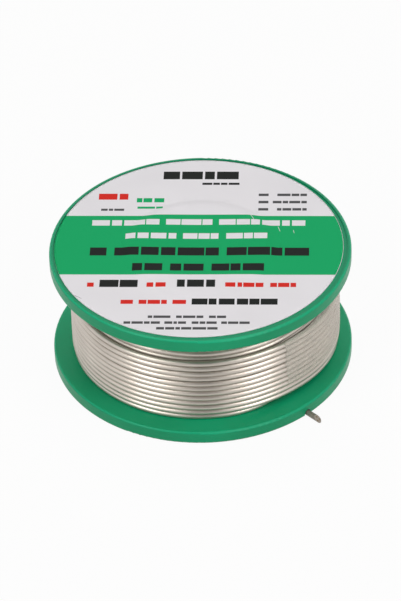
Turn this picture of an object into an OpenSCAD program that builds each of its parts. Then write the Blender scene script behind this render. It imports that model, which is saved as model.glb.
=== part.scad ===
// Solder wire spool: two moulded halves snapped together at a hollow hub, wound with
// flux-cored wire, with a round label on the upper face and a strip of tape over the turns.
// The origin is at the centre of the underside, +Z is the spool's axis, pointing to the label.

/* [Spool] */
// Outer diameter of both flanges
flange_d = 51; // [44:0.5:70]
// Width of the spool, from face to face
spool_w = 21.9; // [17:0.1:25]
// Thickness of each flange
flange_t = 2.4; // [2:0.1:3.6]
// Radius of the rounding along the flanges' edges
rim_round = 0.4; // [0.2:0.05:0.8]
// Width of the raised rim round the label
rim_w = 0.65; // [0.6:0.05:1.5]
// Depth of the shallow recess in each outer face
recess_depth = 0.25; // [0.15:0.05:0.4]
// Width of the flat ring that the spool stands on
foot_w = 3; // [2:0.1:5]

/* [Hub] */
// Diameter of the bore through the hub
bore_d = 21; // [16:0.5:24]
// Wall of the upper half's spigot
spigot_wall = 0.8; // [0.6:0.05:1.2]
// Wall of the lower half's sleeve
sleeve_wall = 0.9; // [0.7:0.05:1.5]
// How far the spigot's wall stands up as a lip under the label
lip_h = 0.13; // [0.05:0.01:0.2]
// Radial clearance between spigot and sleeve
hub_fit = 0.05; // [0.03:0.01:0.1]
// Gap left at each shoulder when the halves are home
seat_gap = 0.05; // [0.03:0.01:0.15]
// Chamfer at the lower mouth of the bore
mouth_chamfer = 0.4; // [0.2:0.05:0.6]
// How far the snap bead stands out of the spigot
snap_h = 0.15; // [0.1:0.01:0.25]
// Width of the snap bead along the axis
snap_w = 0.8; // [0.5:0.05:1.5]
// Height of the snap bead's middle above the spigot's end
snap_z = 1.8; // [1.2:0.1:4]
// Slots that let the spigot's end spring inwards
slot_count = 4; // [3:1:8]
// Width of each slot
slot_w = 1.2; // [0.8:0.1:2]
// Length of each slot
slot_l = 6; // [4:0.5:10]
// Keys that stop the halves turning on each other
key_count = 3; // [2:1:6]
// Width of each key
key_w = 2.5; // [1.5:0.1:4]
// Height of each key
key_h = 0.9; // [0.5:0.1:1.5]
// Clearance on each side of a key
key_fit = 0.1; // [0.05:0.01:0.2]

/* [Wire] */
// Diameter of the solder wire
wire_d = 1; // [0.8:0.05:1.4]
// How far the flanges stand out past the winding
rim_stand = 3.25; // [2.6:0.05:6]
// How far the winding swells out on the side where its turns cross over
swell = 1.6; // [0.2:0.05:1.8]
// Direction of that side
swell_az = 45; // [30:1:90]
// Clearance between the winding and the plastic
wind_gap = 0.05; // [0.03:0.01:0.2]
// Daylight left between neighbouring turns as drawn
turn_gap = 0.42; // [0.41:0.01:0.5]
// Turns of the outer, unfinished layer, which starts at the lower flange
outer_count = 12; // [10:1:14]
// Direction at which each turn has stepped up to the next
step_az = -62; // [-90:1:90]
// Angle over which a turn steps to the next one
step_span = 60; // [30:5:120]

/* [Wire end] */
// Direction in which the inner end leaves the spool
tail_az = -44.5; // [-180:0.5:180]
// How far the inner end stands out past the rim
tail_reach = 3; // [1:0.1:10]
// Angle between the wire and its snipped end
tail_cut = 40; // [30:1:80]
// Bend radius of the wire where it turns into its groove
tail_bend = 1; // [0.8:0.05:1.1]
// Distance from the hub's wall to the start hole's middle
start_in = 0.95; // [0.9:0.05:3]
// Clearance round the wire in its hole and groove
groove_fit = 0.15; // [0.1:0.01:0.2]
// Gap between the wire in its groove and the floor
floor_gap = 0.05; // [0.03:0.01:0.1]
// Flux cores in the wire
core_count = 3; // [1:1:5]
// Diameter of each flux core
core_d = 0.24; // [0.15:0.01:0.26]
// Distance of the flux cores from the wire's middle
core_offset = 0.26; // [0.2:0.01:0.28]
// Clearance round each flux core
core_fit = 0.01; // [0.005:0.001:0.02]
// Length of flux core shown, back from the wire's tip
core_l = 12; // [5:0.5:14]

/* [Tape] */
// Width of the tape that holds the wire's outer end
tape_w = 9.6; // [8.5:0.1:12]
// Height of the tape's lower edge above the lower flange
tape_low = 2.8; // [1:0.1:4]
// Thickness of the tape
tape_t = 0.06; // [0.04:0.01:0.12]
// Direction of the tape's front edge
tape_from = -49.5; // [-90:0.5:0]
// Direction of the tape's back edge
tape_to = 45; // [30:0.5:55]

/* [Label] */
// Thickness of the label
label_t = 0.12; // [0.08:0.01:0.2]
// Gap left between the label and the rim, if it were centred
label_gap = 0.45; // [0.2:0.05:1]
// Direction in which the label is stuck off centre
label_az = 130; // [0:5:360]
// Share of its gap that the label is off centre
label_off = 0.86; // [0:0.01:0.95]
// Width over which the label comes down from the hub's lip
label_drape = 0.7; // [0.3:0.05:2]

/* [Hidden] */
$fn = 96;
eps = 0.01;         // overlap that keeps cuts and joins clean
cut_past = 1;       // how far a cutting tool runs past the solid

flange_r = flange_d / 2;
bore_r = bore_d / 2;
spigot_r = bore_r + spigot_wall;
socket_r = spigot_r + hub_fit;
hub_r = socket_r + sleeve_wall;
upper_z = spool_w - flange_t;               // inner face of the upper flange
inner_w = upper_z - flange_t;               // space for the winding
seat_z = flange_t;                          // shoulder under the spigot's end
spigot_z = seat_z + seat_gap;
recess_r = flange_r - rim_w;
foot_r = flange_r - foot_w;
label_r = recess_r - label_gap;
label_z = spool_w - recess_depth;

// Turns: they lie level, a wire's diameter apart, and each steps up to the next in one sector.
// Full layers fill the space from flange to flange. The outer layer starts at the lower flange
// and winds up to the wire's end under the tape.
wire_r = wire_d / 2;
winding_r = flange_r - rim_stand;
wind_span = inner_w - wire_d - 2 * wind_gap;
turns = floor(wind_span / wire_d + eps) + 1;
pitch = wind_span / (turns - 1);
drawn_r = (pitch - turn_gap) / 2;
turn_r = winding_r - drawn_r;
first_z = flange_t + wind_gap + wire_r;
SIDES = 6;
RINGS = 24;                                 // rings a turn
end_rings = 5;                              // rings missing from the last turn
ring_count = outer_count * RINGS - end_rings + 1;
last_s = (ring_count - 1) / RINGS;          // turns from end to end of the path
chord_sag = pow((turn_r + swell) * sin(180 / RINGS), 2) / (2 * turn_r);
core_r = turn_r - drawn_r - chord_sag - wind_gap;
core_low = flange_t + wind_gap;
core_high = upper_z - wind_gap;

// Wire end: down through the flange, then out along a groove in its underside.
tail_z = wire_r + floor_gap;
tail_r = hub_r + start_in;
tip_r = flange_r + tail_reach;
groove_r = wire_r + groove_fit;

tape_z = flange_t + tape_low;
tape_r = winding_r + wind_gap;

function ease(u) = let (v = max(0, min(1, u))) v * v * (3 - 2 * v);
function step_share(s) = ease((s - floor(s) - 1) * 360 / step_span + 1);
function path_z(s) = first_z + pitch * (floor(s) + step_share(s));
function path_az(s) = step_az - 360 * s;
function out(az) = [cos(az), sin(az), 0];
function along(az) = [sin(az), -cos(az), 0];

// The winding's outline: a circle of radius r and an equal one moved to the swollen side.
function outline_r(r, az) =
    let (d = az - swell_az)
        max(r, swell * cos(d) + sqrt(r * r - pow(swell * sin(d), 2)));
function path_r(s) = outline_r(turn_r, path_az(s));
function path_point(s) = path_r(s) * out(path_az(s)) + [0, 0, path_z(s)];

// Direction of the tape at az, as seen from the middle of the moved circle.
function tape_dir(az) =
    let (p = outline_r(tape_r, az) * out(az) - swell * out(swell_az))
        atan2(p[1], p[0]);
function ring(middle, az) =
    [for (j = [0:SIDES - 1]) let (a = 360 * j / SIDES)
        middle + drawn_r * (cos(a) * out(az) + [0, 0, sin(a)])];

// The path's points, with a straight end one tube diameter long at each end.
path = [for (i = [0:ring_count - 1]) path_point(i / RINGS)];
start_point = path[0] - 2 * drawn_r * along(path_az(0));
end_point = path[ring_count - 1] + 2 * drawn_r * along(path_az(last_s));
tube_points = [
    each ring(start_point, path_az(0)),
    for (i = [0:ring_count - 1]) each ring(path[i], path_az(i / RINGS)),
    each ring(end_point, path_az(last_s))
];
tube_rings = ring_count + 2;
tube_faces = [
    for (j = [1:SIDES - 2]) [0, j + 1, j],
    for (i = [0:tube_rings - 2], j = [0:SIDES - 1])
        let (a = i * SIDES + j, b = i * SIDES + (j + 1) % SIDES)
            each [[a, b, b + SIDES], [a, b + SIDES, a + SIDES]],
    let (a = (tube_rings - 1) * SIDES) for (j = [1:SIDES - 2]) each [[a, a + j, a + j + 1]]
];

// Least gap of the tube to itself: between rings at least half a turn apart on the path.
least_gap = min([for (i = [0:ring_count - 1]) for (k = [i + RINGS / 2:1:ring_count - 1])
    norm(path[i] - path[k])]) - 2 * drawn_r;
echo(turns = turns, pitch = pitch, least_gap = least_gap);

// Wire that the space holds, in metres: full layers, each nested in the one below it, and the
// outer layer.
layer_rise = 0.885 * wire_d;
full_r = winding_r - layer_rise;
layers = floor((full_r - hub_r - wind_gap - wire_d) / layer_rise + eps) + 1;
mean_r = (full_r + hub_r + wind_gap) / 2;
echo(layers = layers,
     wire_m = 2 * PI * (mean_r * layers * turns + (winding_r - wire_r) * outer_count) / 1000);

// Half section of a flange: a plate with both edges rounded.
module flange_section() {
    square([flange_r - rim_round, flange_t]);
    translate([0, rim_round])
        square([flange_r, flange_t - 2 * rim_round]);
    for (y = [rim_round, flange_t - rim_round])
        translate([flange_r - rim_round, y])
            circle(rim_round);
}

// All that lies inside the winding's outline of radius r.
module swollen_disc(r, height) {
    cylinder(r = r, h = height);
    translate(swell * out(swell_az))
        cylinder(r = r, h = height);
}

// The space for the wire's inner end: a hole at the hub, a bend and a groove to the rim.
module wire_channel() {
    rotate([0, 0, tail_az]) {
        translate([tail_r, 0, tail_z])
            cylinder(r = groove_r, h = flange_t - tail_z + cut_past);
        translate([tail_r, 0, tail_z])
            rotate([0, 90, 0])
                cylinder(r = groove_r, h = flange_r - tail_r + cut_past);
        translate([tail_r, 0, -cut_past])
            cylinder(r = groove_r, h = cut_past + tail_z);
        translate([tail_r, -groove_r, -cut_past])
            cube([flange_r - tail_r + cut_past, 2 * groove_r, cut_past + tail_z]);
        tail_elbow(groove_r);
    }
}

// Quarter bend from the vertical hole to the level groove, for a tube of radius r.
module tail_elbow(r) {
    translate([tail_r + tail_bend, 0, tail_z + tail_bend])
        rotate([90, 0, 0])
            rotate_extrude(angle = 90, start = 180)
                translate([tail_bend, 0])
                    circle(r);
}

module tail_body(r) {
    translate([tail_r, 0, tail_z + tail_bend])
        cylinder(r = r, h = core_low - tail_z - tail_bend);
    tail_elbow(r);
    translate([tail_r + tail_bend, 0, tail_z])
        rotate([0, 90, 0])
            cylinder(r = r, h = tip_r - tail_r - tail_bend);
}

// What the side cutters took: all that lies beyond a plane through the lower tip.
module snip() {
    translate([tip_r, 0, tail_z - wire_r])
        rotate([0, tail_cut, 0])
            translate([-2 * wire_d, -wire_d, 0])
                cube([4 * wire_d, 2 * wire_d, 3 * wire_d]);
}

module cores(r, length) {
    for (i = [0:core_count - 1])
        translate([tip_r - core_l, 0, tail_z])
            rotate([360 * i / core_count, 0, 0])
                translate([0, 0, core_offset])
                    rotate([0, 90, 0])
                        cylinder(r = r, h = length, $fn = 24);
}

// Lugs under the upper flange that sit in notches in the sleeve, or those notches.
module keys(side, depth, outer) {
    intersection() {
        for (i = [0:key_count - 1])
            rotate([0, 0, 360 * i / key_count])
                translate([bore_r + spigot_wall / 2, -key_w / 2 - side, upper_z - depth])
                    cube([outer, key_w + 2 * side, depth + eps]);
        cylinder(r = outer, h = spool_w);
    }
}

module lower_half() {
    color("#1f9a68")
    difference() {
        union() {
            rotate_extrude() flange_section();
            cylinder(r = hub_r, h = upper_z - seat_gap);
        }
        translate([0, 0, -cut_past])
            cylinder(r = bore_r, h = spool_w);
        translate([0, 0, seat_z])
            cylinder(r = socket_r, h = spool_w);
        translate([0, 0, spigot_z + snap_z - snap_w / 2 - key_fit])
            cylinder(r = socket_r + snap_h, h = snap_w + 2 * key_fit);
        translate([0, 0, -cut_past])
            cylinder(r = foot_r, h = cut_past + recess_depth);
        translate([0, 0, recess_depth])
            cylinder(r1 = bore_r + mouth_chamfer, r2 = bore_r, h = mouth_chamfer);
        keys(key_fit, key_h + seat_gap, hub_r + cut_past);
        wire_channel();
    }
}

module upper_half() {
    color("#1f9a68")
    difference() {
        union() {
            translate([0, 0, upper_z])
                rotate_extrude() flange_section();
            translate([0, 0, spigot_z])
                cylinder(r = spigot_r, h = spool_w - spigot_z - flange_t / 2);
            translate([0, 0, spigot_z + snap_z - snap_w / 2])
                cylinder(r = spigot_r + snap_h, h = snap_w);
            keys(0, key_h, hub_r);
        }
        translate([0, 0, spigot_z - cut_past])
            cylinder(r = bore_r, h = spool_w);
        translate([0, 0, label_z])
            difference() {
                cylinder(r = recess_r, h = recess_depth + cut_past);
                translate([0, 0, -cut_past])
                    cylinder(r = spigot_r, h = cut_past + lip_h);
            }
        for (i = [0:slot_count - 1])
            rotate([0, 0, 360 * (i + 0.5) / slot_count])
                translate([bore_r - cut_past, -slot_w / 2, spigot_z - cut_past])
                    cube([spigot_wall + snap_h + 2 * cut_past, slot_w, slot_l + cut_past]);
    }
}

// The full layers under the outer one, as one plain ring.
module inner_winding() {
    color("#8f8c84")
    translate([0, 0, core_low])
        difference() {
            swollen_disc(core_r, core_high - core_low);
            translate([0, 0, -cut_past])
                cylinder(r = hub_r + wind_gap, h = spool_w);
        }
}

// The outer layer, from the lower flange up to the wire's end under the tape.
module outer_turns() {
    color("#bcb8b0")
    polyhedron(points = tube_points, faces = tube_faces);
}

module wire_tail() {
    color("#bcb8b0")
    rotate([0, 0, tail_az])
        difference() {
            tail_body(wire_r);
            snip();
            cores(core_d / 2 + core_fit, core_l + cut_past);
        }
}

module flux_cores() {
    color("#a8762c")
    rotate([0, 0, tail_az])
        difference() {
            cores(core_d / 2, core_l);
            snip();
        }
}

// A strip of film over the outer layer and the wire's end.
module holding_tape() {
    from = tape_dir(tape_from);
    color("#d8d3bf")
    intersection() {
        translate([0, 0, tape_z])
            difference() {
                swollen_disc(tape_r + tape_t, tape_w);
                translate([0, 0, -cut_past])
                    swollen_disc(tape_r, tape_w + 2 * cut_past);
            }
        translate(swell * out(swell_az))
            rotate_extrude(angle = tape_dir(tape_to) - from, start = from)
                square([flange_r, spool_w]);
    }
}

// A disc stuck slightly off centre, which lies over the hub's lip and comes down round it.
module label() {
    color("#e4e4e2")
    intersection() {
        translate([0, 0, label_z])
            rotate_extrude()
                polygon([
                    [0, lip_h],
                    [spigot_r, lip_h],
                    [spigot_r + label_drape, 0],
                    [flange_r, 0],
                    [flange_r, label_t],
                    [spigot_r + label_drape, label_t],
                    [spigot_r, lip_h + label_t],
                    [0, lip_h + label_t]
                ]);
        translate(label_off * label_gap * out(label_az))
            cylinder(r = label_r, h = spool_w + cut_past);
    }
}

lower_half();
upper_half();
inner_winding();
outer_turns();
wire_tail();
flux_cores();
holding_tape();
label();
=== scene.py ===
# %% [markdown]
# # A spool of solder wire, dressed for the camera
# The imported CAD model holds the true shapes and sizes: two moulded halves, the wire, a strip of
# tape and a round label. This lesson loads it as a fixed frame and gives every visible surface
# its finish. Where the CAD solid is a stand-in, such as the thin drawn turns, a full piece
# takes its place at the same spot.

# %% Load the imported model
import math

import bpy
import numpy as np
from mathutils import Matrix, Vector


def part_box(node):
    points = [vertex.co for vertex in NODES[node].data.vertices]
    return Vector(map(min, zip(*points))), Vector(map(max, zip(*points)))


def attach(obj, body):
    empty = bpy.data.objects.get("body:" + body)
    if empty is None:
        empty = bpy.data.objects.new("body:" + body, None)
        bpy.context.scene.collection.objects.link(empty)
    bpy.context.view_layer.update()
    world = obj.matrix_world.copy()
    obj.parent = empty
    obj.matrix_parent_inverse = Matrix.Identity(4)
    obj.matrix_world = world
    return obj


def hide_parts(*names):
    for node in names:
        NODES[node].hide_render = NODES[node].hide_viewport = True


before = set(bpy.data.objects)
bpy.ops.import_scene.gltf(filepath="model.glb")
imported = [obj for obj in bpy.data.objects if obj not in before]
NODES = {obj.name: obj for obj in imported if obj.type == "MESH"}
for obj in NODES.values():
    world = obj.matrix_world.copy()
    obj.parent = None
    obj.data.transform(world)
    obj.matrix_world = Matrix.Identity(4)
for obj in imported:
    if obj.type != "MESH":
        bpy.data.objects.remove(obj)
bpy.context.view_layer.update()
MM = 0.001

# %% [markdown]
# ## Sizes taken from the solids
# The flanges and the label's place, size and height are read from the CAD nodes, so the dressing
# follows them. The bore, the hub and the paper's thickness are given here, and the wire's own
# sizes are repeated, because the CAD draws it thinner than it is.

# %% Measure the nodes
SPOOL_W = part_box("upper_half")[1].z / MM
FLANGE_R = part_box("upper_half")[1].x / MM
LABEL_LOW = [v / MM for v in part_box("label")[0]]
LABEL_HIGH = [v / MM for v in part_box("label")[1]]
LABEL_X = (LABEL_LOW[0] + LABEL_HIGH[0]) / 2
LABEL_Y = (LABEL_LOW[1] + LABEL_HIGH[1]) / 2
LABEL_R = (LABEL_HIGH[0] - LABEL_LOW[0]) / 2
LABEL_FLOOR = LABEL_LOW[2]
LABEL_T = 0.12      # thickness of the paper
BORE_R = 10.5       # radius of the hub's bore
LIP_R = 11.3        # outer radius of the hub's lip under the label
HUB_R = 12.4        # just outside the hub's sleeve
WIRE_D = 1.0        # the wire's true diameter
OUTER_R = 21.77     # middle of the wire in the outer layer
LAYER_RISE = 0.86   # how much deeper the layer below lies, nested in the grooves
SWELL = 1.6         # how far the winding swells out where its turns cross over
SWELL_AZ = 45.0     # direction of that side
print("width %.2f, flange radius %.2f, label radius %.2f at (%.2f, %.2f)"
      % (SPOOL_W, FLANGE_R, LABEL_R, LABEL_X, LABEL_Y))

# %% [markdown]
# ## Camera
# A long lens, 0.72 metres from the spool, looks down at about 38 degrees. The lens and the
# place are fixed numbers, and the small roll tips the picture as a hand-set camera does.

# %% Place the camera
CAMERA_AT = Vector((28.49, -566.47, 458.34)) * MM
LOOK_AT = Vector((-0.211, -0.011, 10.375)) * MM
ROLL = math.radians(-1.712)
back = (CAMERA_AT - LOOK_AT).normalized()
side = (-back).cross(Vector((0, 0, 1))).normalized()
rise = side.cross(-back)
across = math.cos(ROLL) * side + math.sin(ROLL) * rise
upward = math.cos(ROLL) * rise - math.sin(ROLL) * side
lens = bpy.data.cameras.new("studio_camera")
lens.sensor_fit = "VERTICAL"
lens.sensor_height = lens.sensor_width = 36.0
lens.lens = 254.44      # millimetres
lens.clip_start, lens.clip_end = 0.05, 20.0
camera = bpy.data.objects.new("studio_camera", lens)
camera.matrix_world = Matrix((
    (across.x, upward.x, back.x, CAMERA_AT.x),
    (across.y, upward.y, back.y, CAMERA_AT.y),
    (across.z, upward.z, back.z, CAMERA_AT.z),
    (0, 0, 0, 1),
))
bpy.context.scene.collection.objects.link(camera)
bpy.context.scene.camera = camera
print("camera", round((CAMERA_AT - LOOK_AT).length, 3), "m from the spool")

# %% [markdown]
# ## Small helpers for shaders
# A node tree is easier to read when each sum is one call. `Tree` wraps one material's node
# tree, and its methods add a node, set its inputs and hand back its output.

# %% The shader helper
class Tree:
    """One material's nodes. An input is a number, a tuple or another node's output."""

    def __init__(self, name):
        self.material = bpy.data.materials.new(name)
        self.material.use_nodes = True
        self.nodes = self.material.node_tree.nodes
        self.links = self.material.node_tree.links
        self.nodes.clear()
        self.out = self.nodes.new("ShaderNodeOutputMaterial")

    def node(self, kind, outlet=0, inputs=(), **settings):
        made = self.nodes.new(kind)
        for key, value in settings.items():
            setattr(made, key, value)
        for key, value in dict(inputs).items():
            self.put(made.inputs[key], value)
        return made.outputs[outlet]

    def put(self, socket, value):
        if isinstance(value, bpy.types.NodeSocket):
            self.links.new(value, socket)
        else:
            socket.default_value = value

    def math(self, what, a, b=0.0, c=0.0, clamp=False):
        return self.node("ShaderNodeMath", inputs={0: a, 1: b, 2: c}, operation=what,
                         use_clamp=clamp)

    def spot(self):
        """The object's own coordinates, in metres."""
        return self.node("ShaderNodeTexCoord", "Object")

    def split(self, vector):
        """The three numbers of a vector."""
        parts = self.nodes.new("ShaderNodeSeparateXYZ")
        self.links.new(vector, parts.inputs[0])
        return tuple(parts.outputs)

    def facing_up(self):
        """How far the surface faces up: 1 on a flat top, 0 on a wall."""
        return self.split(self.node("ShaderNodeNewGeometry", "Normal"))[2]

    def radius(self, x, y):
        """Distance from the middle: the root of x squared plus y squared."""
        squares = self.math("ADD", self.math("MULTIPLY", x, x), self.math("MULTIPLY", y, y))
        return self.math("SQRT", squares)

    def product(self, a, b):
        return self.math("MULTIPLY", a, b)

    def noise(self, spot, scale, detail=2.0, rough=0.5):
        return self.node("ShaderNodeTexNoise", "Fac",
                         {"Vector": spot, "Scale": scale, "Detail": detail, "Roughness": rough})

    def ramp(self, value, low, high, to_low=0.0, to_high=1.0):
        return self.node("ShaderNodeMapRange",
                         inputs={0: value, 1: low, 2: high, 3: to_low, 4: to_high},
                         clamp=True)

    def mix(self, share, a, b):
        made = self.nodes.new("ShaderNodeMix")
        made.data_type = "RGBA"
        self.put(made.inputs[0], share)
        self.put(made.inputs[6], a)
        self.put(made.inputs[7], b)
        return made.outputs[2]

    def bump(self, height, distance, strength=1.0):
        return self.node("ShaderNodeBump",
                         inputs={"Height": height, "Distance": distance, "Strength": strength})

    def finish(self, **sockets):
        """Adds the surface shader; a name's underscores are spaces in the socket's name."""
        shader = self.nodes.new("ShaderNodeBsdfPrincipled")
        for key, value in sockets.items():
            self.put(shader.inputs[key.replace("_", " ")], value)
        self.links.new(shader.outputs[0], self.out.inputs[0])
        return self.material


print("shader helper ready, one Tree for each material")

# %% [markdown]
# ## The room: floor, white surround and soft lamps
# A product is often shot on a sheet of paper that runs up behind it. Here the floor and the
# world look pure white to the camera and in reflections, while they light the spool only
# gently. The floor keeps a small share of its real shading, so the spool's shadow stays.

# %% World and floor
AMBIENT = 0.17      # strength of the surround as a light
FLOOR_HALF = 1.6    # metres from the middle of the floor to its edge
FLOOR_SHADE = 0.05  # share of the floor's real shading that the camera sees
FLOOR_GREY = 0.72


def white_surround(ambient):
    """World that is plain white for camera, mirror and glass rays, and dimmer as a light."""
    world = bpy.data.worlds.new("white_room")
    world.use_nodes = True
    nodes, links = world.node_tree.nodes, world.node_tree.links
    nodes.clear()
    path = nodes.new("ShaderNodeLightPath")
    seen = path.outputs["Is Camera Ray"]
    for name in ("Is Glossy Ray", "Is Transmission Ray"):
        both = nodes.new("ShaderNodeMath")
        both.operation = "MAXIMUM"
        links.new(seen, both.inputs[0])
        links.new(path.outputs[name], both.inputs[1])
        seen = both.outputs[0]
    mix = nodes.new("ShaderNodeMixShader")
    links.new(seen, mix.inputs[0])
    for place, strength in ((1, ambient), (2, 1.0)):
        light = nodes.new("ShaderNodeBackground")
        light.inputs[0].default_value = (1, 1, 1, 1)
        light.inputs[1].default_value = strength
        links.new(light.outputs[0], mix.inputs[place])
    out = nodes.new("ShaderNodeOutputWorld")
    links.new(mix.outputs[0], out.inputs[0])
    bpy.context.scene.world = world


def white_floor(half, shade):
    """Floor square from -half to half metres; the camera sees `shade` of its real shading."""
    mesh = bpy.data.meshes.new("studio_floor")
    mesh.from_pydata([(-half, -half, 0), (half, -half, 0), (half, half, 0), (-half, half, 0)],
                     [], [(0, 1, 2, 3)])
    floor = bpy.data.objects.new("studio_floor", mesh)
    bpy.context.scene.collection.objects.link(floor)
    tree = Tree("studio_floor")
    seen = tree.node("ShaderNodeLightPath", "Is Camera Ray")
    for name in ("Is Glossy Ray", "Is Transmission Ray"):
        seen = tree.math("MAXIMUM", seen, tree.node("ShaderNodeLightPath", name))
    real = tree.node("ShaderNodeBsdfDiffuse", inputs={"Color": (FLOOR_GREY,) * 3 + (1,)})
    glow = tree.node("ShaderNodeEmission", inputs={"Color": (1, 1, 1, 1), "Strength": 1.0})
    share = tree.product(seen, 1 - shade)
    both = tree.node("ShaderNodeMixShader", inputs={0: share, 1: real, 2: glow})
    tree.links.new(both, tree.out.inputs[0])
    mesh.materials.append(tree.material)


white_surround(AMBIENT)
white_floor(FLOOR_HALF, FLOOR_SHADE)
print("floor and surround made")

# %% [markdown]
# ## Lamps
# Each turn of wire is a small round mirror, so it shows the room squeezed into a line. Two soft
# boxes stand high on the left and on the right of the camera and give each turn two bright
# stretches. A third one hangs over the back and lights the label and the far rim.

# %% Soft boxes
LAMP_TINT = (1.0, 0.985, 0.96)
SPOOL_MIDDLE = Vector((0, 0, 0.012))
CAMERA_AZ = math.atan2(CAMERA_AT.y, CAMERA_AT.x)
SOFT_BOXES = {
    # name: degrees round from the camera, height, distance, width and tallness, brightness
    "soft_box_left": (-50, 0.70, 0.73, 0.40, 0.80, 3.85),
    "soft_box_right": (50, 0.68, 0.75, 0.42, 0.80, 3.85),
    "soft_box_top": (180, 0.93, 0.375, 0.60, 0.30, 4.2),
}


def soft_box(name, azimuth, height, distance, width, tall, radiance):
    """Area lamp at a compass angle round the spool, aimed at its middle. `radiance` is its
    brightness, so its power is radiance times pi times its area."""
    spot = Vector((math.cos(azimuth) * distance, math.sin(azimuth) * distance, height))
    lamp = bpy.data.lights.new(name, "AREA")
    lamp.shape = "RECTANGLE"
    lamp.size, lamp.size_y = width, tall
    lamp.energy = radiance * math.pi * width * tall
    lamp.color = LAMP_TINT
    made = bpy.data.objects.new(name, lamp)
    made.location = spot
    made.rotation_euler = (spot - SPOOL_MIDDLE).to_track_quat("Z", "Y").to_euler()
    bpy.context.scene.collection.objects.link(made)


for name, (turn, *sizes) in SOFT_BOXES.items():
    soft_box(name, CAMERA_AZ + math.radians(turn), *sizes)
print(len(SOFT_BOXES), "soft boxes")

# %% [markdown]
# ## A dark arch
# A dark strip rises from the floor behind the camera and arches over the spool. Only mirror rays
# see it. It keeps the middle of the drum grey, as in a room where the camera side is unlit.

# %% The arch
ARCH_RADIUS, ARCH_HALF_WIDTH = 1.1, 0.24    # metres
ARCH_TOP = math.radians(84)
ARCH_GREY = 0.32
ARCH_STEPS = 24


def dark_arch(azimuth, radius, half_width, top, grey):
    """Strip bent over the spool along a circle, from the floor up to `top`, that only mirror
    rays see."""
    out = np.array([math.cos(azimuth), math.sin(azimuth), 0.0])
    along = np.array([-out[1], out[0], 0.0])
    lift = np.linspace(0, top, ARCH_STEPS + 1)[:, None]
    middle = radius * (np.cos(lift) * out + np.sin(lift) * np.array([0, 0, 1.0]))
    points = np.stack([middle - half_width * along, middle + half_width * along], 1).reshape(-1, 3)
    faces = [(2 * i, 2 * i + 1, 2 * i + 3, 2 * i + 2) for i in range(ARCH_STEPS)]
    mesh = bpy.data.meshes.new("dark_arch")
    mesh.from_pydata(points.tolist(), [], faces)
    card = bpy.data.objects.new("dark_arch", mesh)
    bpy.context.scene.collection.objects.link(card)
    tree = Tree("dark_arch")
    glow = tree.node("ShaderNodeEmission",
                     inputs={"Color": (grey, grey, grey, 1), "Strength": 1.0})
    tree.links.new(glow, tree.out.inputs[0])
    mesh.materials.append(tree.material)
    card.visible_camera = card.visible_diffuse = card.visible_shadow = False
    card.visible_transmission = card.visible_volume_scatter = False


dark_arch(CAMERA_AZ, ARCH_RADIUS, ARCH_HALF_WIDTH, ARCH_TOP, ARCH_GREY)
print("one arch, %d steps" % ARCH_STEPS)

# %% [markdown]
# ## Surfaces from grids
# Every new piece is a grid of points worked out with numpy. `grid_faces` joins the rows and
# columns into faces and closes the seams that are asked for, and `make_piece` makes the object
# ride on the spool's one body.

# %% Mesh helper
def grid_faces(rows, cols, wrap, start=0):
    """Quads between neighbouring rows and columns of a grid numbered row by row."""
    i, j = np.meshgrid(np.arange(rows - 1), np.arange(cols if wrap else cols - 1), indexing="ij")
    a = start + i * cols + j
    b = start + i * cols + (j + 1) % cols
    return np.stack([a, b, b + cols, a + cols], -1).reshape(-1, 4)


def make_piece(name, points, quads, replaces, extra=()):
    """Object from points in millimetres and rows of corners; `extra` holds faces of any size."""
    mesh = bpy.data.meshes.new(name)
    faces = [tuple(f) for f in quads.tolist()] + [tuple(f) for f in extra]
    mesh.from_pydata((np.asarray(points, float) * MM).tolist(), [], faces)
    mesh.update()
    mesh.polygons.foreach_set("use_smooth", np.full(len(mesh.polygons), True))
    piece = bpy.data.objects.new(name, mesh)
    bpy.context.scene.collection.objects.link(piece)
    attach(piece, "root")
    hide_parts(*replaces)
    print("%-14s %6d points, %6d faces" % (name, len(mesh.vertices), len(mesh.polygons)))
    return piece


def ease(u):
    """Smooth step: 0 below 0, 1 above 1, and 3u^2 - 2u^3 between."""
    v = np.clip(u, 0, 1)
    return v * v * (3 - 2 * v)


print("mesh helpers ready")

# %% [markdown]
# ## The solder wire
# The wire lies in level turns, about one wire apart, and each turn steps to the next in one
# sector. The layers cross there, so the winding swells out on that side. Hand and machine never
# space turns evenly, so each gap has its own size. The path here starts at the upper flange,
# winds down through the last full layer, climbs at the lower flange and winds up through the
# unfinished outer layer to its end under the tape.

# %% The wire's path
STEP_AZ = -62.0     # direction at which each turn has stepped
STEP_SPAN = 60.0    # degrees over which it steps
END_AZ = 13.0       # direction at which the wire ends under the tape
LEAD_IN = 0.16      # share of a turn over which the wire's start rises from the layer below
RINGS = 144         # rings in one turn
WANDER = 0.02       # how far the wire strays from its even path
DIP = 0.14          # how far a turn sinks where it crosses under the outer layer
FIRST_Z = 2.905     # height of the lowest turn
# From each turn of the outer layer to the next, from the lower flange up
GAPS = [0.99, 0.99, 1.04, 0.99, 1.03, 0.985, 0.985, 1.12, 0.965, 1.10, 1.06]
OUTER_Z = FIRST_Z + np.concatenate([[0], np.cumsum(GAPS)])
# Turns of the layer below that no outer turn covers, from the upper flange down
BARE_Z = np.array([18.50, 17.53, 16.55, 15.57, 14.60])
UNDER_Z = np.concatenate([BARE_Z, ((OUTER_Z[1:] + OUTER_Z[:-1]) / 2)[::-1]])
TURN_Z = np.concatenate([UNDER_Z, OUTER_Z])
CLIMB_S = float(len(UNDER_Z))
LAST_S = len(TURN_Z) - (END_AZ - STEP_AZ) / 360


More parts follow.
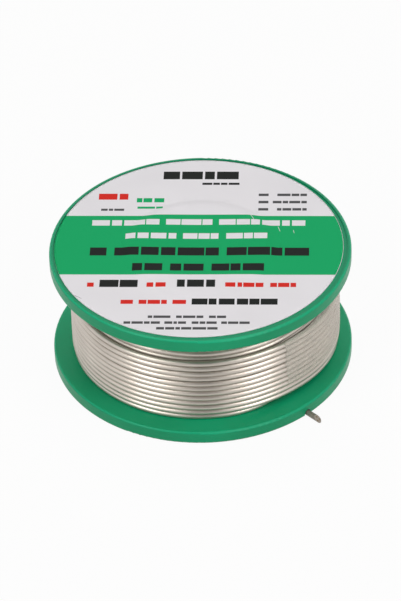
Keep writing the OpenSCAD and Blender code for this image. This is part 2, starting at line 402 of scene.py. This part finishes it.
def wander(s, seed):
    """Slow unevenness between -1 and 1 along the wire: three sines of odd periods."""
    return (np.sin(2 * np.pi * 1.13 * s + seed) + np.sin(2 * np.pi * 2.41 * s + 2.1 * seed)
            + 0.7 * np.sin(2 * np.pi * 5.27 * s + 3.7 * seed)) / 2.7


def outline(r, az):
    """Distance from the axis, in direction az (degrees), of the winding's outline of radius r:
    the larger of a centred circle and an equal one moved by SWELL towards SWELL_AZ, with the
    corner between them rounded."""
    d = np.radians(np.asarray(az) - SWELL_AZ)
    moved = SWELL * np.cos(d) + np.sqrt(r * r - (SWELL * np.sin(d)) ** 2)
    return (r + moved + np.sqrt((r - moved) ** 2 + 0.02)) / 2 - 0.005


def belly(z):
    """How far a turn at height z stands out of an even drum: in at the bottom, flat, then
    slightly in."""
    return 0.05 - 0.15 * np.exp(-(z - 2.92) / 0.5) - 0.10 * ease((z - 8) / 6)


def wire_path(s):
    """Height, radius and direction of the wire's middle after s turns. Where a turn steps under
    the outer layer it dips, because the two cross there and no longer nest."""
    n = np.clip(np.floor(s).astype(int), 0, len(TURN_Z) - 2)
    part = (s - n - 1) * 360 / STEP_SPAN + 1
    z = TURN_Z[n] + (TURN_Z[n + 1] - TURN_Z[n]) * ease(part) + WANDER * wander(s, 1.0)
    under = 1 - ease((s - CLIMB_S) * 12 + 0.5)
    dip = DIP * ease(part * 6) * ease((1 - part) * 6) * under * (n >= len(BARE_Z) - 1)
    sunk = LAYER_RISE * (1 - ease((s + LEAD_IN) / LEAD_IN))
    az = STEP_AZ - 360 * s
    r = outline(OUTER_R - LAYER_RISE * under, az) + belly(z) - dip - sunk
    return z, r + WANDER * wander(s, 4.0), np.radians(az)


s = np.linspace(-LEAD_IN, LAST_S, int(RINGS * (LAST_S + LEAD_IN)) + 1)
wire_z, wire_r, wire_az = wire_path(s)
WIRE_SHOWN = (wire_r * 2 * np.pi).mean() * len(s) / RINGS * MM
print("wire drawn: %.2f m in %.1f turns" % (WIRE_SHOWN, LAST_S))

# %% [markdown]
# ## A tube round the path
# The tube is one profile, a circle, carried along the path. A curve with a bevel would do it too,
# but the grid gives a map along the wire for free, which the finish uses.

# %% The tube
SIDES = 16
THINNER = 0.006     # how much thinner than half a wire the tube's radius is


def tube(z, r, az, radius, sides, name, replaces):
    """Circle of that radius carried along a path round the axis, its two ends closed by flat fans.
    Point of ring i, side j: middle_i + radius * (cos a_j * outward_i + sin a_j * up). The seam,
    at a = 180 degrees, faces the hub."""
    a = np.pi + 2 * np.pi * np.arange(sides) / sides
    out = np.stack([np.cos(az), np.sin(az), np.zeros_like(az)], -1)[:, None, :]
    middle = out * r[:, None, None] + np.array([0, 0, 1.0]) * z[:, None, None]
    points = middle + radius * (np.cos(a)[None, :, None] * out
                                + np.sin(a)[None, :, None] * [0, 0, 1.0])
    rows = len(z)
    quads = grid_faces(rows, sides, True)
    caps = [list(range(sides))[::-1], [(rows - 1) * sides + j for j in range(sides)]]
    piece = make_piece(name, points.reshape(-1, 3), quads, replaces, extra=caps)
    steps = np.linalg.norm(np.diff(middle[:, 0, :], axis=0), axis=1)
    length = np.concatenate([[0], np.cumsum(steps)]) * MM
    i, j = np.meshgrid(np.arange(rows - 1), np.arange(sides), indexing="ij")
    u = np.stack([length[i], length[i], length[i + 1], length[i + 1]], -1)
    v = np.stack([j, j + 1, j + 1, j], -1) / sides
    uv = np.zeros((len(piece.data.loops), 2))
    uv[:quads.size] = np.stack([u, v], -1).reshape(-1, 2)
    piece.data.uv_layers.new(name="along_wire").data.foreach_set("uv", uv.ravel())
    return piece


solder_wire = tube(wire_z, wire_r, wire_az, WIRE_D / 2 - THINNER, SIDES, "solder_wire",
                   ["outer_turns"])

# %% [markdown]
# ## The buried layers
# Between two turns the eye just reaches the layer below, and at the upper flange one layer
# more. It is a lathe: a profile of small arcs, one for each buried turn, spun round the axis.
# Nothing deeper shows.

# %% Scalloped drum
DRUM_R = 19.6       # where the drum's flat ends begin


def buried_turns(steps=6, segments=180):
    """Profile of half circles nested in the turns over them, carried round the winding's outline
    as one closed ring."""
    theta = np.linspace(np.pi / 2, -np.pi / 2, steps, endpoint=False)
    bare = BARE_Z[::-1]
    middles = np.concatenate([OUTER_Z, (bare[1:] + bare[:-1]) / 2, [bare[-1] + 0.5]])
    z = middles[:, None] - 0.5 * np.sin(theta)
    r = OUTER_R - 2 * LAYER_RISE + belly(middles)[:, None] + 0.49 * np.cos(theta)
    low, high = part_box("inner_winding")[0].z / MM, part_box("inner_winding")[1].z / MM
    profile_z = np.concatenate([[low, low], z.ravel(), [high, high]])
    profile_r = np.concatenate([[HUB_R, DRUM_R], r.ravel(), [DRUM_R, HUB_R]])
    turn = 360 * np.arange(segments) / segments
    radius = np.where(profile_r[:, None] > HUB_R, outline(profile_r[:, None], turn), HUB_R)
    points = np.stack([radius * np.cos(np.radians(turn)), radius * np.sin(np.radians(turn)),
                       np.repeat(profile_z[:, None], segments, 1)], -1)
    rows = len(profile_z)
    quads = grid_faces(rows, segments, True)
    last = (rows - 1) * segments + np.arange(segments)
    first = np.arange(segments)
    close = np.stack([last, np.roll(last, -1), np.roll(first, -1), first], -1)
    return make_piece("buried_turns", points.reshape(-1, 3), np.concatenate([quads, close]),
                      ["inner_winding"])


buried = buried_turns()

# %% [markdown]
# ## Finish of the solder
# Drawn tin wire is a soft bright metal with a satin skin. Fine marks run along it, left by the
# drawing die, and handling dulls it in patches. The marks are noise stretched along the wire's
# own map; the patches are wide noise on the object's place. The map's second number goes round
# the wire, so the finish also knows its underside, made less metallic with a pale matt colour as
# painted light, and the side in the groove, darker and browner as painted shade between the turns.
# The marks spread the shine round the wire and not along it: the shader's anisotropy does that,
# with its direction taken from the same map. The buried layers and the wire's inner end have no
# map, so the painted shade lies evenly on them, and the inner end is darker still as painted shade.

# %% Solder material
SOLDER_COLOURS = [
    (0.52, 0.468, 0.418),   # darker patches
    (0.63, 0.572, 0.514),   # lighter patches
    (0.60, 0.535, 0.475),   # underside, pale and less metallic: painted light
    (0.33, 0.285, 0.235),   # painted shade in the grooves
]
EVEN_PAINTED_SHADE = 0.6    # share of painted shade on wire without a map
SHADE_DULLS = 0.75   # how much less metallic the painted shade is than clean wire
SHADE_ROUGHENS = 0.15    # how much rougher it is
TAIL_SHADE = 0.58      # brightness of the wire's inner end, darkened as painted shade


def solder_finish(name, mapped, bright=1.0):
    """Satin metal; with the wire's own map, painted light makes its underside less metallic and
    paler, and painted shade darkens its grooves. `bright` scales all its colours."""
    tree = Tree(name)
    spot = tree.spot()
    patches = tree.noise(spot, 180.0, 3.0)
    if mapped:
        along = tree.node("ShaderNodeUVMap", uv_map="along_wire")
        marks_at = tree.node("ShaderNodeMapping",
                             inputs={"Vector": along, "Scale": (60.0, 9.0, 1.0)})
        marks = tree.noise(marks_at, 1.0, 3.0, 0.6)
        turned = tree.split(along)[1]
        # painted shade: a darker, browner, rougher and less metallic band where the turns meet
        painted_shade = tree.ramp(tree.math("ABSOLUTE", tree.math("SUBTRACT", turned, 0.5)), 0.21, 0.30)
        # painted light: towards the underside the wire turns less metallic and takes a pale colour,
        # so that side shows lighter and less green
        under = tree.ramp(turned, 0.48, 0.41, 0.0, 0.45)
        metal = tree.math("SUBTRACT", tree.math("MULTIPLY_ADD", painted_shade, -SHADE_DULLS, 1.0), under,
                          clamp=True)
        rougher = tree.product(painted_shade, SHADE_ROUGHENS)
        tangent = tree.node("ShaderNodeTangent", direction_type="UV_MAP", uv_map="along_wire")
        drawn = {"Anisotropic": 0.75, "Anisotropic Rotation": 0.25, "Tangent": tangent}
    else:
        marks = tree.noise(spot, 2600.0, 2.0)
        # without a map, the painted shade covers the wire evenly
        painted_shade, drawn = EVEN_PAINTED_SHADE, {}
        metal, rougher = 1 - SHADE_DULLS * painted_shade, SHADE_ROUGHENS * painted_shade
    tone = tree.math("MULTIPLY_ADD", marks, 0.5, tree.product(patches, 0.5))
    dark, light, painted_tone, shade_colour = (tuple(bright * v for v in colour) + (1,)
                               for colour in SOLDER_COLOURS)
    clean = tree.mix(tree.ramp(tone, 0.35, 0.65), dark, light)
    # painted light on the underside
    skin = tree.mix(under, clean, painted_tone) if mapped else clean
    colour = tree.mix(painted_shade, skin, shade_colour)
    rough = tree.math("ADD", tree.ramp(tone, 0.3, 0.7, 0.40, 0.31), rougher)
    return tree.finish(Base_Color=colour, Metallic=metal, Roughness=rough,
                       Normal=tree.bump(marks, 0.00001, 0.5), **drawn)


solder_wire.data.materials.append(solder_finish("solder_skin", True))
# the buried layers carry the even painted shade
buried.data.materials.append(solder_finish("solder_plain", False))
# the wire's inner end: all colours darkened and even painted shade, both painted shade
shaded_tail = solder_finish("solder_shaded_tail", False, TAIL_SHADE)
NODES["wire_tail"].material_slots[0].material = shaded_tail
print("solder finish on", solder_wire.name, buried.name, "and, darker, on the wire's inner end")

# %% [markdown]
# ## Flux
# The wire is hollow in three places, and the channels are filled with amber rosin. It shows as
# three dots on the snipped end. Rosin is a glassy resin, so it is smooth, and lets a little
# light in.

# %% Rosin material
def rosin_finish():
    """Smooth amber resin with slow changes of tone."""
    tree = Tree("rosin_flux")
    cloud = tree.noise(tree.spot(), 4000.0, 2.0)
    colour = tree.mix(cloud, (0.17, 0.125, 0.070, 1), (0.26, 0.195, 0.110, 1))
    return tree.finish(Base_Color=colour, Roughness=tree.ramp(cloud, 0.3, 0.7, 0.2, 0.35),
                       Normal=tree.bump(cloud, 0.00002, 0.5))


NODES["flux_cores"].material_slots[0].material = rosin_finish()
print("rosin in the three cores")

# %% [markdown]
# ## Green mouldings
# The two halves are injection moulded in green polystyrene. The CAD shapes are right, so they
# stay, and only their finish changes: a satin skin with a faint orange peel, slow changes of
# tone where the melt flowed, a hair line where the mould parts round each rim, light rub marks,
# a painted highlight on the rounded edges, and painted shade in a ring next to the label.

# %% Moulded plastic
GREEN_LOW, GREEN_HIGH = (0.0035, 0.330, 0.144, 1), (0.0050, 0.372, 0.168, 1)
GREEN_RUBBED = (0.020, 0.47, 0.24, 1)
# painted shade in the recess round the label
GREEN_SHADE = (0.002, 0.190, 0.090, 1)
# painted highlight on the rounded rim edges
GREEN_HIGHLIGHT = (0.012, 0.56, 0.30, 1)
PARTING = 1.2       # height of the mould's parting line on a rim, from the flange's outer face
# Distances from the axis, in millimetres, between which each effect fades in or out
RIM_SIDE = (25.30, 25.45)
# the painted shade next to the label fades out across this ring
RECESS_SHADE_RING = (25.05, 25.25)
# the painted highlight on the rounded edges fades in across this ring
EDGE_HIGHLIGHT_RING = (24.80, 25.00)


def moulded_green():
    """Satin plastic, toned by noise, with a painted highlight on its rounded edges and painted
    shade next to the label, placed by distance from the axis and by how far it faces up.
    """
    tree = Tree("moulded_green")
    spot = tree.spot()
    x, y, z = tree.split(spot)
    radius = tree.radius(x, y)

    def by_radius(ends, low=0.0, high=1.0):
        return tree.ramp(radius, ends[0] * MM, ends[1] * MM, low, high)

    flow = tree.noise(spot, 70.0, 2.0)
    peel = tree.noise(spot, 1500.0, 2.0)
    rub = tree.noise(spot, 450.0, 4.0, 0.7)
    base = tree.mix(tree.ramp(flow, 0.35, 0.65), GREEN_LOW, GREEN_HIGH)
    colour = tree.mix(tree.ramp(rub, 0.62, 0.80, 0.0, 0.20), base, GREEN_RUBBED)
    # painted shade: a darker ring in the recess next to the label
    painted_tone = tree.product(by_radius(RECESS_SHADE_RING, 0.55, 0.0),
                        tree.math("GREATER_THAN", z, (SPOOL_W - 0.6) * MM))
    colour = tree.mix(painted_tone, colour, GREEN_SHADE)
    up = tree.facing_up()
    # painted highlight: paler green on the sloped, rounded rim edges
    edge_highlight = tree.product(tree.ramp(up, 0.2, 0.5, 0.0, 0.3), tree.ramp(up, 0.98, 0.85))
    colour = tree.mix(tree.product(edge_highlight, by_radius(EDGE_HIGHLIGHT_RING)), colour, GREEN_HIGHLIGHT)
    low, high = (tree.ramp(tree.math("ABSOLUTE", tree.math("SUBTRACT", z, height * MM)),
                           0.03 * MM, 0.08 * MM, 1.0, 0.0)
                 for height in (PARTING, SPOOL_W - PARTING))
    ridge = tree.product(tree.math("MAXIMUM", low, high), by_radius(RIM_SIDE))
    relief = tree.math("MULTIPLY_ADD", ridge, 1.5, peel)
    rough = tree.ramp(rub, 0.3, 0.8, 0.31, 0.46)
    return tree.finish(Base_Color=colour, Roughness=rough, IOR=1.5, Specular_IOR_Level=0.24,
                       Normal=tree.bump(relief, 0.000012, 0.6))


green = moulded_green()
for half in ("lower_half", "upper_half"):
    NODES[half].material_slots[0].material = green
print("green plastic on both halves")

# %% [markdown]
# ## The tape
# A strip of clear film holds the outer layer and the wire's end. It clings to the crowns of the
# wire, spans the grooves with a little sag, and leans in where its upper edge stands over the
# top turn. Its surface is a height over the drum for each direction and height, so it is one
# grid with a thin back.

# %% Film over the turns
TAPE_LOW, TAPE_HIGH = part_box("holding_tape")[0].z / MM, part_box("holding_tape")[1].z / MM
TAPE_FROM, TAPE_TO = -49.5, 45.0    # directions of its ends
TAPE_SAG = 0.06     # how deep it sags between two turns
TAPE_LEAN = 0.40    # how far it leans in over the top turn
TAPE_T = 0.05       # thickness of the film


def turn_heights(az):
    """Heights of the outer layer's turns in direction az, from the lowest up. The top one exists
    only beyond the wire's end, so towards the end it sinks to the one under it."""
    step = ease((STEP_AZ + STEP_SPAN - az) / STEP_SPAN)[..., None]
    turns = OUTER_Z[:-1] + (OUTER_Z[1:] - OUTER_Z[:-1]) * step
    there = ease((az - END_AZ + 4) / 5)[..., None]
    top = turns[..., -1:] + (OUTER_Z[-1] - turns[..., -1:]) * there
    return np.concatenate([turns, top], -1)


def off_crown(az, z):
    """Distance up or down from the nearest turn's middle: 0 on a crown, half a wire over a
    groove."""
    return np.abs(z[..., None] - turn_heights(az)).min(-1)


def tape_radius(az, z):
    """Crown of the turns, less a sag between them and a lean inwards over the top turn."""
    off = np.minimum(off_crown(az, z), 0.5)
    sag = TAPE_SAG * (0.5 - 0.5 * np.cos(2 * np.pi * off / WIRE_D))
    lean = TAPE_LEAN * ease((z - turn_heights(az).max(-1) - 0.2) / 1.1)
    return outline(OUTER_R + WIRE_D / 2, az) + belly(z) + 0.02 - sag - lean


def holding_tape(cols=190, rows=118):
    """Front surface and back surface on the same grid, joined round all four edges. One end is
    torn, so its outline wavers: three sines of the height, which fade along the tape."""
    u, v = np.meshgrid(np.linspace(0, 1, cols), np.linspace(0, 1, rows), indexing="ij")
    ragged = 0.35 * np.sin(9.0 * v + 0.6) + 0.22 * np.sin(31.0 * v + 1.9) + 0.12 * np.sin(83.0 * v)
    az = TAPE_FROM + 1.3 * (1 - v) * (1 - u) + (TAPE_TO - TAPE_FROM) * u + ragged * (1 - u) ** 8
    low = TAPE_LOW - 0.25 + 0.55 * (1 - u) ** 3
    high = TAPE_HIGH - 0.05
    z = low + (high - low) * v
    r = tape_radius(az, z)
    sheets = []
    for lift in (TAPE_T, 0.0):
        sheets.append(np.stack([(r + lift) * np.cos(np.radians(az)),
                                (r + lift) * np.sin(np.radians(az)), z], -1).reshape(-1, 3))
    front = grid_faces(cols, rows, False)
    count = cols * rows
    rim = np.concatenate([np.arange(rows), np.arange(1, cols) * rows + rows - 1,
                          (cols - 1) * rows + np.arange(rows - 2, -1, -1),
                          np.arange(cols - 2, 0, -1) * rows])
    nxt = np.roll(rim, -1)
    edge = np.stack([rim, rim + count, nxt + count, nxt], -1)
    quads = np.concatenate([front, front[:, ::-1] + count, edge])
    film = make_piece("clear_film", np.concatenate(sheets), quads, ["holding_tape"])
    spread = np.tile(np.stack([u.ravel(), 2 * off_crown(az, z).ravel() / WIRE_D], -1), (2, 1))
    film.data.uv_layers.new(name="over_turns").data.foreach_set("uv", spread[quads.ravel()].ravel())
    return film


film = holding_tape()

# %% [markdown]
# ## Finish of the tape
# Where the glue touches a crown the film is nearly clear, and over a groove the air behind it
# makes it milky. So its cover goes up and down once for each turn. Wide faint blotches vary it.

# %% Tape material
def tape_finish():
    """Film that covers a little more over a groove than on a crown, with faint blotches."""
    tree = Tree("matte_film")
    groove = tree.split(tree.node("ShaderNodeUVMap", uv_map="over_turns"))[1]
    blotch = tree.noise(tree.spot(), 300.0, 3.0)
    cover = tree.math("ADD", tree.ramp(groove, 0.0, 1.0, 0.18, 0.24),
                      tree.ramp(blotch, 0.3, 0.7, -0.05, 0.05))
    colour = tree.mix(blotch, (0.93, 0.88, 0.79, 1), (0.98, 0.94, 0.86, 1))
    return tree.finish(Base_Color=colour, Roughness=0.45, Alpha=cover,
                       Normal=tree.bump(blotch, 0.00005, 0.3))


film.data.materials.append(tape_finish())
print("film finish made")

# %% [markdown]
# ## The label
# A disc of coated paper is stuck over the upper face. Outside the hub it lies flat. Over the
# hub's lip it rises a fifth of a millimetre, more at the back, and over the bore, where nothing
# holds it, it sags a little. The disc is a polar grid with a top, a cut edge and a back.

# %% Paper disc over the hub
def label_lift(x, y):
    """Height of the paper above its flat part: a step over the hub's lip, higher at the back, and
    a shallow sag over the bore."""
    r = np.hypot(x, y)
    lip = (0.19 + 0.0115 * y) * ease((LIP_R + 2.2 - r) / 1.9)
    sag = 0.16 * np.clip(1 - (r / BORE_R) ** 2, 0, 1) ** 1.5
    return lip - sag


def paper_disc(rings=84, segments=220):
    """Top rows from the middle outwards, then the back rows inwards. Fans close both poles."""
    r = np.linspace(0, 1, rings + 1)[1:] * LABEL_R
    a = 2 * np.pi * np.arange(segments) / segments
    x = LABEL_X + r[:, None] * np.cos(a)
    y = LABEL_Y + r[:, None] * np.sin(a)
    top = np.stack([x, y, LABEL_FLOOR + LABEL_T + label_lift(x, y)], -1)
    low = np.stack([x, y, LABEL_FLOOR + label_lift(x, y)], -1)[::-1]
    points = np.concatenate([top.reshape(-1, 3), low.reshape(-1, 3)])
    quads = grid_faces(2 * rings, segments, True)[:, ::-1]
    mid = label_lift(np.array(LABEL_X), np.array(LABEL_Y))
    poles = [[LABEL_X, LABEL_Y, LABEL_FLOOR + LABEL_T + mid],
             [LABEL_X, LABEL_Y, LABEL_FLOOR + mid]]
    count = len(points)
    first, last = np.arange(segments), (2 * rings - 1) * segments + np.arange(segments)
    fans = [(count, int(p), int(q)) for p, q in zip(first, np.roll(first, -1))]
    fans += [(count + 1, int(q), int(p)) for p, q in zip(last, np.roll(last, -1))]
    return make_piece("paper_label", np.concatenate([points, poles]), quads,
                      ["label"], extra=fans)


paper = paper_disc()

# %% [markdown]
# ## What is printed on the label
# The label carries a green band and, where a printer would set words, rows of plain blocks. The
# table gives each row's height on the label, its ink and where its words start and end.

# %% Inks and rows
INK_DARK = (0.012, 0.014, 0.013, 1)
INK_RED = (0.70, 0.030, 0.022, 1)
INK_GREEN = (0.0105, 0.400, 0.138, 1)
INK_GREY = (0.085, 0.085, 0.09, 1)
PAPER = (0.83, 0.81, 0.85, 1)
PRINT_SPAN = 24.0   # the rulers below reach this far to either side
MOST_BLOCKS = 15    # in one row
BAND = (-7.45, 8.78)
PRINT_SHIFT = 0.05  # the print sits this far left of the cut, so a white line shows on the right
LINES = [
    # y, height, ink, width of a block, then start and end of each word along x
    (20.30, 2.20, INK_DARK, 3.40, [(-7.0, 6.2)]),
    (17.90, 0.60, INK_DARK, 1.60, [(-0.3, 6.2)]),
    (14.20, 1.70, INK_RED, 2.70, [(-17.9, -12.6)]),
    (10.50, 0.60, INK_GREY, 1.50, [(-17.4, -13.2)]),
    (13.20, 1.20, INK_GREEN, 1.80, [(-11.4, -6.4)]),
    (11.10, 0.60, INK_GREEN, 1.50, [(-11.2, -6.6)]),
    (14.75, 0.70, INK_GREY, 1.40, [(9.5, 11.4), (12.6, 17.9)]),
    (12.70, 0.70, INK_GREY, 1.40, [(9.5, 11.4), (12.0, 17.9)]),
    (10.65, 0.70, INK_GREY, 1.40, [(9.5, 11.4), (12.6, 17.9)]),
    (6.80, 1.50, PAPER, 2.60, [(-18.6, -7.0), (-6.0, 2.0), (3.0, 17.8)]),
    (3.05, 1.50, PAPER, 2.40, [(-12.8, -4.0), (-3.0, 3.2), (4.2, 11.4)]),
    (-1.15, 2.20, INK_DARK, 3.90, [(-18.6, -15.6), (-14.6, 3.4), (4.4, 18.6)]),
    (-5.45, 1.95, INK_DARK, 2.70, [(-11.4, -6.0), (-5.0, 1.0), (2.0, 11.0)]),
    (-9.85, 1.95, INK_DARK, 2.60, [(-16.5, -10.0), (-3.7, 3.1)]),
    (-10.20, 1.15, INK_RED, 1.80, [(-18.6, -17.3), (-8.8, -5.4), (4.4, 11.0), (11.9, 16.5)]),
    (-14.70, 1.60, INK_DARK, 2.40, [(-1.0, 13.6)]),
    (-14.80, 1.10, INK_RED, 1.70, [(-12.9, -10.6), (-9.8, -5.0), (-4.2, -1.8)]),
    (-18.75, 0.65, INK_GREY, 1.40, [(-8.1, -4.2), (-3.5, 1.2), (1.9, 5.0)]),
    (-20.30, 0.65, INK_GREY, 1.40, [(-12.0, -6.0), (-5.3, -1.6), (-0.9, 3.4), (4.1, 8.8)]),
    (-21.80, 0.65, INK_GREY, 1.40, [(-6.6, 3.6)]),
]


def blocks(words, width, seed):
    """Blocks as (start, end) that fill the words side by side. Their widths differ: shares of
    1 + 0.35 sin(2.4 k + seed) for block k of a row. A gap of 0.12 of a block's width, 0.3 mm at
    most, parts it from the next one."""
    made = []
    for start, end in words:
        count = max(1, round((end - start) / width))
        shares = 1 + 0.35 * np.sin(2.4 * (len(made) + np.arange(count)) + seed)
        edges = start + (end - start) * np.concatenate([[0], np.cumsum(shares)]) / shares.sum()
        gap = min(0.3, 0.12 * width)
        made += [(float(a), float(b - gap)) for a, b in zip(edges[:-1], edges[1:])]
    assert len(made) <= MOST_BLOCKS, (words, len(made))
    return made


print("blocks in each row:", [len(blocks(row[4], row[3], seed)) for seed, row in enumerate(LINES)])

# %% [markdown]
# ## Rulers, stripes and scratches
# Each row is one colour ramp with hard stops, a ruler along x that is ink or bare paper. A ramp
# holds 32 stops, so a row may have 15 blocks. A stripe bounds it from below and above. A few hair
# lines scratch the print, each with its own ends and width.

# %% Masks in millimetres
SCRATCHES = [
    # start, end, width, colour
    ((6.3, 11.6), (8.1, 9.4), 0.14, PAPER),
    ((8.0, 9.5), (9.2, 6.9), 0.12, PAPER),
    ((13.0, 5.9), (13.4, 4.4), 0.10, PAPER),
    ((15.6, 4.9), (15.8, 3.9), 0.10, PAPER),
    ((-20.6, -13.0), (-19.2, -14.0), 0.10, INK_GREY),
]


def ruler(tree, x, bars):
    """1 where x, in millimetres, lies on a bar and 0 elsewhere: one ramp with hard stops."""
    made = tree.nodes.new("ShaderNodeValToRGB")
    made.color_ramp.interpolation = "CONSTANT"
    share = tree.ramp(x, -PRINT_SPAN * MM, PRINT_SPAN * MM)
    tree.links.new(share, made.inputs[0])
    stops = made.color_ramp.elements
    stops[0].position, stops[0].color = 0.0, (0, 0, 0, 1)
    stops.remove(stops[1])
    for start, end in bars:
        for place, value in ((start, 1.0), (end, 0.0)):
            stop = stops.new((place + PRINT_SPAN) / (2 * PRINT_SPAN))
            stop.color = (value, value, value, 1)
    return made.outputs[0]


def stripe(tree, y, low, high, soft=0.03):
    """1 from low to high, 0 outside, with soft edges, all in millimetres."""
    off = tree.math("ABSOLUTE", tree.math("SUBTRACT", y, (low + high) / 2 * MM))
    half = (high - low) / 2
    return tree.ramp(off, (half - soft) * MM, (half + soft) * MM, 1.0, 0.0)


def scratch(tree, x, y, start, end, width):
    """1 on a hair line between two points, 0 away from it, in millimetres: within half the width
    across the line, and between its ends along it."""
    length = math.dist(start, end)
    ux, uy = (end[0] - start[0]) / length, (end[1] - start[1]) / length
    middle = [(a + b) / 2 * MM for a, b in zip(start, end)]
    px, py = tree.math("SUBTRACT", x, middle[0]), tree.math("SUBTRACT", y, middle[1])
    across, along = (
        tree.math("ABSOLUTE", tree.math("ADD", tree.product(px, a), tree.product(py, b)))
        for a, b in ((-uy, ux), (ux, uy)))
    return tree.product(tree.ramp(across, 0.3 * width * MM, 0.7 * width * MM, 1.0, 0.0),
                        tree.ramp(along, 0.35 * length * MM, 0.5 * length * MM, 1.0, 0.0))


print(len(SCRATCHES), "scratches")

# %% [markdown]
# ## The printed paper
# The print is laid on the paper's colour ink by ink: the band, the rows, the scratches. The band
# and the rows show only where the disc faces up, so the cut edge and the back stay white.

# %% Label material
PAPER_LOW, PAPER_HIGH = (0.82, 0.805, 0.845, 1), (0.855, 0.84, 0.88, 1)


def label_finish():
    """Coated paper with the band, the rows of blocks and the scratches on its upper side."""
    tree = Tree("printed_paper")
    spot = tree.spot()
    x, y = tree.split(spot)[:2]
    face_up = tree.math("GREATER_THAN", tree.facing_up(), 0.7)
    fibre = tree.noise(spot, 3000.0, 3.0)
    cloud = tree.noise(spot, 90.0, 2.0)
    colour = tree.mix(tree.ramp(cloud, 0.3, 0.7), PAPER_LOW, PAPER_HIGH)
    out = tree.radius(tree.math("SUBTRACT", x, (LABEL_X - PRINT_SHIFT) * MM),
                      tree.math("SUBTRACT", y, LABEL_Y * MM))
    printed = tree.ramp(out, (LABEL_R - 0.04) * MM, LABEL_R * MM, 1.0, 0.0)
    band = tree.product(tree.product(stripe(tree, y, *BAND), printed), face_up)
    colour = tree.mix(band, colour, INK_GREEN)
    for seed, (middle, height, ink, width, words) in enumerate(LINES):
        row = stripe(tree, y, middle - height / 2, middle + height / 2)
        mask = tree.product(row, ruler(tree, x, blocks(words, width, seed)))
        colour = tree.mix(tree.product(mask, face_up), colour, ink)
    for start, end, width, tint in SCRATCHES:
        line = tree.product(scratch(tree, x, y, start, end, width), 0.7)
        colour = tree.mix(line, colour, tint)
    rough = tree.ramp(fibre, 0.3, 0.7, 0.40, 0.52)
    return tree.finish(Base_Color=colour, Roughness=rough, Specular_IOR_Level=0.06,
                       Normal=tree.bump(fibre, 0.00001, 0.4))


paper.data.materials.append(label_finish())
print("label printed with", len(LINES), "rows of blocks")

# %% [markdown]
# ## Colours as written
# The standard view transform shows a colour as it is set, with no film curve on top.

# %% View and hand-over
bpy.context.scene.view_settings.view_transform = "Standard"
